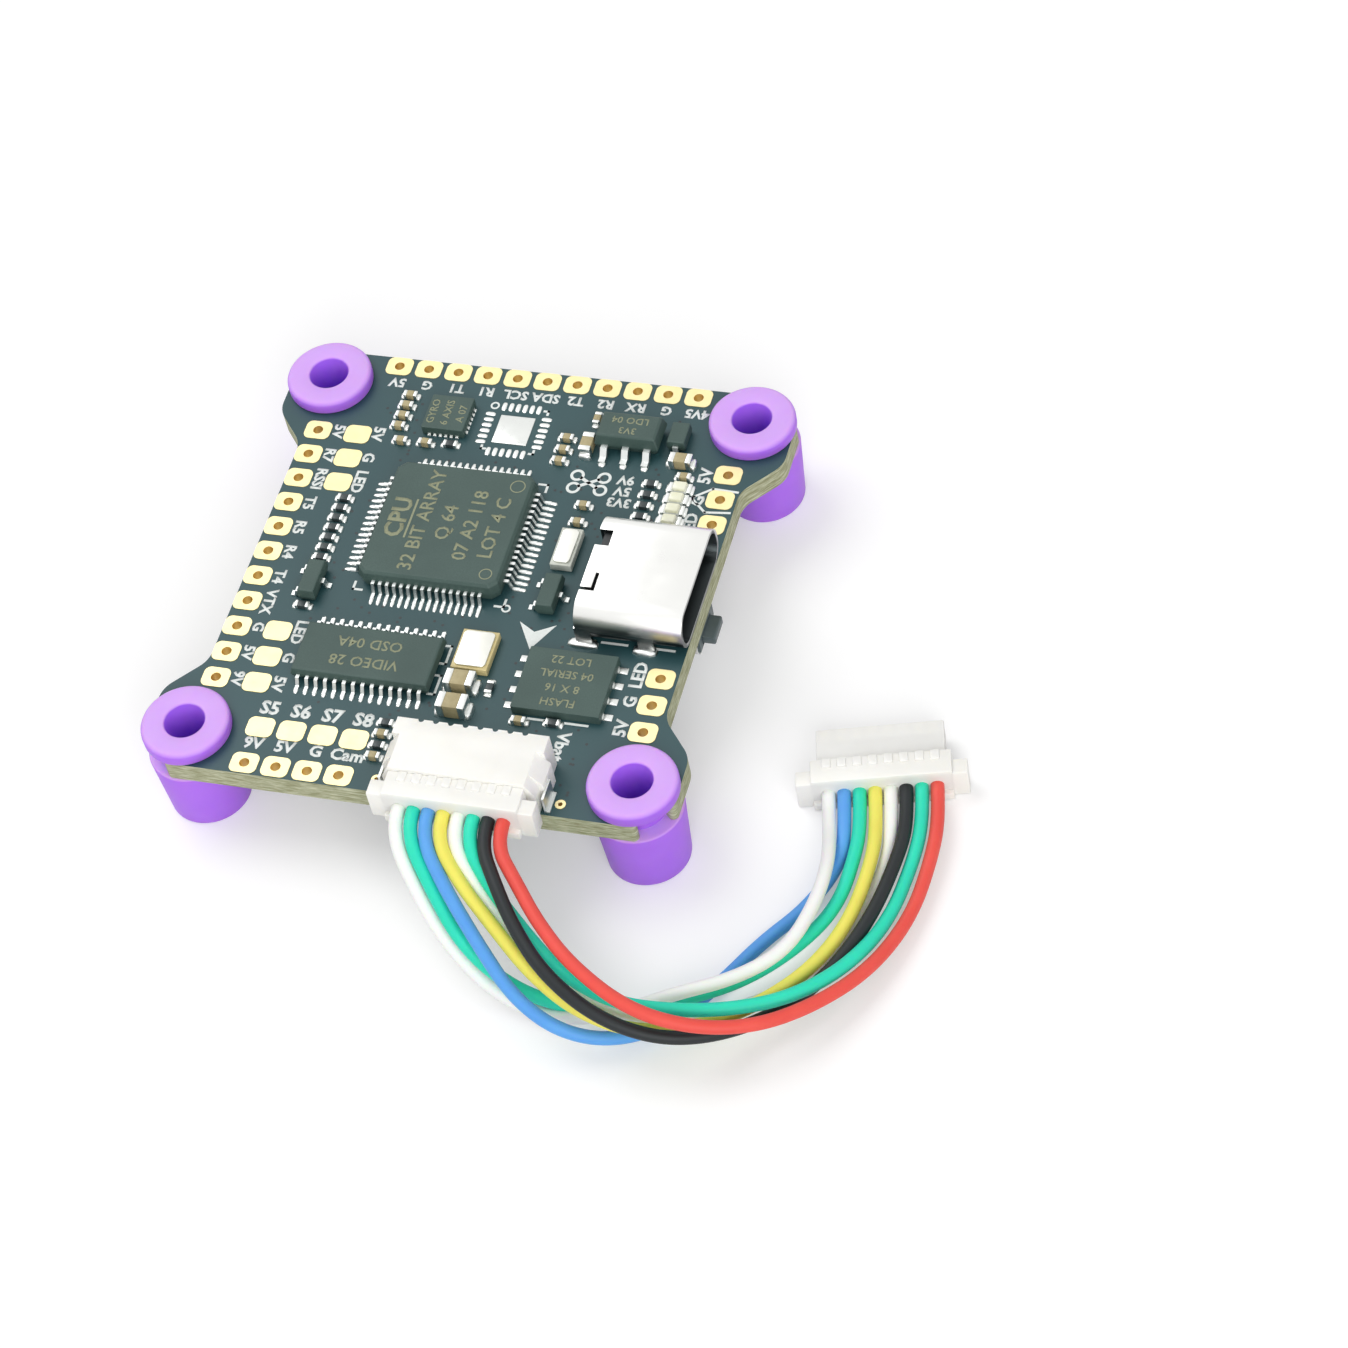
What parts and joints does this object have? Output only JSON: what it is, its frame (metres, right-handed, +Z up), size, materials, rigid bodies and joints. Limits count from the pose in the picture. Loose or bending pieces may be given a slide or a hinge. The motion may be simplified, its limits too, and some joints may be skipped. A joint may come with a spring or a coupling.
{
  "type": "flight controller board",
  "caption": "Square flight controller circuit board for a small multirotor on four soft grommets, with a USB-C receptacle, a boot button and a plug-in wire harness.",
  "frame": {"origin": "centre of the four grommet bores, on the plane of the grommet feet", "axes": "+Z up out of the component side of the board, +Y away from the harness socket, +X towards the mouth of the USB-C receptacle"},
  "size_m": [0.053, 0.0499, 0.01],
  "materials": {
    "board_laminate": "satin solder mask over glass laminate",
    "silicone": "matte moulded silicone",
    "plated_pad": "bright gold-flashed plating",
    "moulded_resin": "fine matte moulding",
    "tinned_metal": "tin plating and solder",
    "ceramic_dielectric": "fired ceramic",
    "resistor_film": "glazed black film",
    "led_body": "white moulding",
    "led_resin": "clear resin",
    "crystal_tub": "ceramic with plated rim",
    "crystal_lid": "rolled lid",
    "stamped_steel": "nickel plated stamping",
    "black_insulator": "glass filled moulding",
    "gold_contact": "gold flash",
    "cream_nylon": "natural nylon moulding",
    "ferrite": "pressed iron powder",
    "dark_nylon": "moulded",
    "white_insulation": "extruded silicone insulation",
    "green_insulation": "extruded silicone insulation",
    "blue_insulation": "extruded silicone insulation",
    "yellow_insulation": "extruded silicone insulation",
    "black_insulation": "extruded silicone insulation",
    "red_insulation": "extruded silicone insulation"
  },
  "bodies": {
    "board": {"circuit_board": "board_laminate", "grommet_front_left": "silicone", "grommet_front_right": "silicone", "grommet_rear_left": "silicone", "grommet_rear_right": "silicone", "edge_pads": "plated_pad", "surface_pads": "plated_pad", "processor_body": "moulded_resin", "processor_leads": "tinned_metal", "gyro_body": "moulded_resin", "gyro_terminals": "tinned_metal", "video_chip_body": "moulded_resin", "video_chip_leads": "tinned_metal", "flash_chip_body": "moulded_resin", "flash_chip_terminals": "tinned_metal", "regulator_body": "moulded_resin", "regulator_leads": "tinned_metal", "transistor_body": "moulded_resin", "transistor_leads": "tinned_metal", "diode_body": "moulded_resin", "diode_leads": "tinned_metal", "converter_body": "moulded_resin", "converter_leads": "tinned_metal", "small_capacitor_body": "ceramic_dielectric", "small_capacitor_ends": "tinned_metal", "bulk_capacitor_body": "ceramic_dielectric", "bulk_capacitor_ends": "tinned_metal", "resistor_body": "resistor_film", "resistor_ends": "tinned_metal", "status_led_body": "led_body", "status_led_ends": "tinned_metal", "status_led_lenses": "led_resin", "video_crystal_tub": "crystal_tub", "video_crystal_lid": "crystal_lid", "processor_crystal_tub": "crystal_tub", "processor_crystal_lid": "crystal_lid", "power_inductors": "ferrite", "usb_shell": "stamped_steel", "usb_insulator": "black_insulator", "usb_contacts": "gold_contact", "socket_housing": "cream_nylon", "socket_contacts": "tinned_metal", "socket_tabs": "tinned_metal", "boot_button_base": "dark_nylon", "boot_button_cover": "stamped_steel", "boot_button_dome": "stamped_steel"},
    "boot_button": {"boot_button_plunger": "dark_nylon"},
    "harness": {"plug_housing": "cream_nylon", "plug_terminals": "tinned_metal", "far_plug_housing": "cream_nylon", "far_plug_terminals": "tinned_metal", "wire_1_white": "white_insulation", "wire_2_green": "green_insulation", "wire_3_blue": "blue_insulation", "wire_4_yellow": "yellow_insulation", "wire_5_white": "white_insulation", "wire_6_green": "green_insulation", "wire_7_black": "black_insulation", "wire_8_red": "red_insulation"}
  },
  "joints": [
    {"name": "boot_button_press", "type": "slide", "parent": "board", "child": "boot_button", "axis": [-1, 0, 0], "range_m": [0, 0.00025], "stiffness_N_per_m": 500},
    {"name": "harness_unplug", "type": "slide", "parent": "board", "child": "harness", "axis": [0, -1, 0], "range_m": [0, 0.004]}
  ]
}
